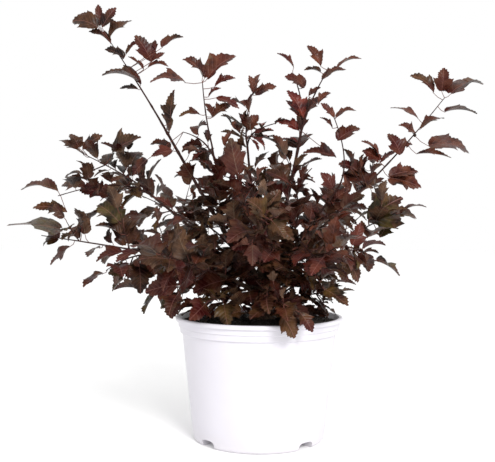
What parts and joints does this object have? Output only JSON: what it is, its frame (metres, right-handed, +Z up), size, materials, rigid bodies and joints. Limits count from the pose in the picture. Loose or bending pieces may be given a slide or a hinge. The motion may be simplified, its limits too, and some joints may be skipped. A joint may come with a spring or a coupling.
{
  "type": "potted ninebark shrub",
  "caption": "Dark-leaved ninebark shrub with fanning canes and lobed purple, red and olive leaves, standing in a white tapered nursery pot.",
  "frame": {"origin": "centre of the flat underside of the pot, on the surface that the pot stands on", "axes": "+Z up along the pot's axis, the plant's best side looks along -Y, +X to the right of that view"},
  "size_m": [0.6767, 0.5054, 0.6366],
  "materials": {
    "pot_plastic": "satin",
    "soil": "matte",
    "bark": "matte",
    "leaf_purple": "satin",
    "leaf_red": "satin",
    "leaf_olive": "satin"
  },
  "bodies": {
    "root": {"pot": "pot_plastic", "soil": "soil", "stem": "bark", "cane_left_tall": "bark", "cane_centre_left": "bark", "cane_centre": "bark", "cane_right_centre": "bark", "cane_right_thin": "bark", "cane_right_tall": "bark", "cane_right_out": "bark", "cane_left_upper": "bark", "cane_left_out": "bark", "cane_back_left": "bark", "cane_front_left": "bark", "cane_back_right": "bark", "cane_front_right": "bark", "cane_front": "bark", "cane_heart_left": "bark", "cane_heart_right": "bark", "cane_back": "bark", "leaves_left_tall": "leaf_purple", "leaves_centre_left": "leaf_red", "leaves_crown_left": "leaf_purple", "leaves_centre": "leaf_red", "leaves_centre_low": "leaf_red", "leaves_top_inner": "leaf_red", "leaves_top_outer": "leaf_red", "leaves_right_thin": "leaf_purple", "leaves_right_tall": "leaf_purple", "leaves_right_mid": "leaf_purple", "leaves_right_out": "leaf_olive", "leaves_right_hang": "leaf_olive", "leaves_left_upper": "leaf_purple", "leaves_left_mid": "leaf_olive", "leaves_left_out": "leaf_olive", "leaves_left_hang": "leaf_olive", "leaves_back_left": "leaf_olive", "leaves_front_left": "leaf_purple", "leaves_back_right": "leaf_olive", "leaves_front_right": "leaf_purple", "leaves_front_high": "leaf_purple", "leaves_front_far": "leaf_purple", "leaves_crown": "leaf_red", "leaves_heart_left": "leaf_purple", "leaves_crown_right": "leaf_red", "leaves_heart_right": "leaf_purple", "leaves_back_high": "leaf_red", "leaves_back_far": "leaf_purple", "leaves_back_low": "leaf_purple", "leaves_back_low_left": "leaf_purple", "leaves_back_low_right": "leaf_purple", "leaves_low_left": "leaf_olive", "leaves_low_right": "leaf_purple", "leaves_rim_front": "leaf_purple", "leaves_rim_left": "leaf_purple"}
  },
  "joints": []
}
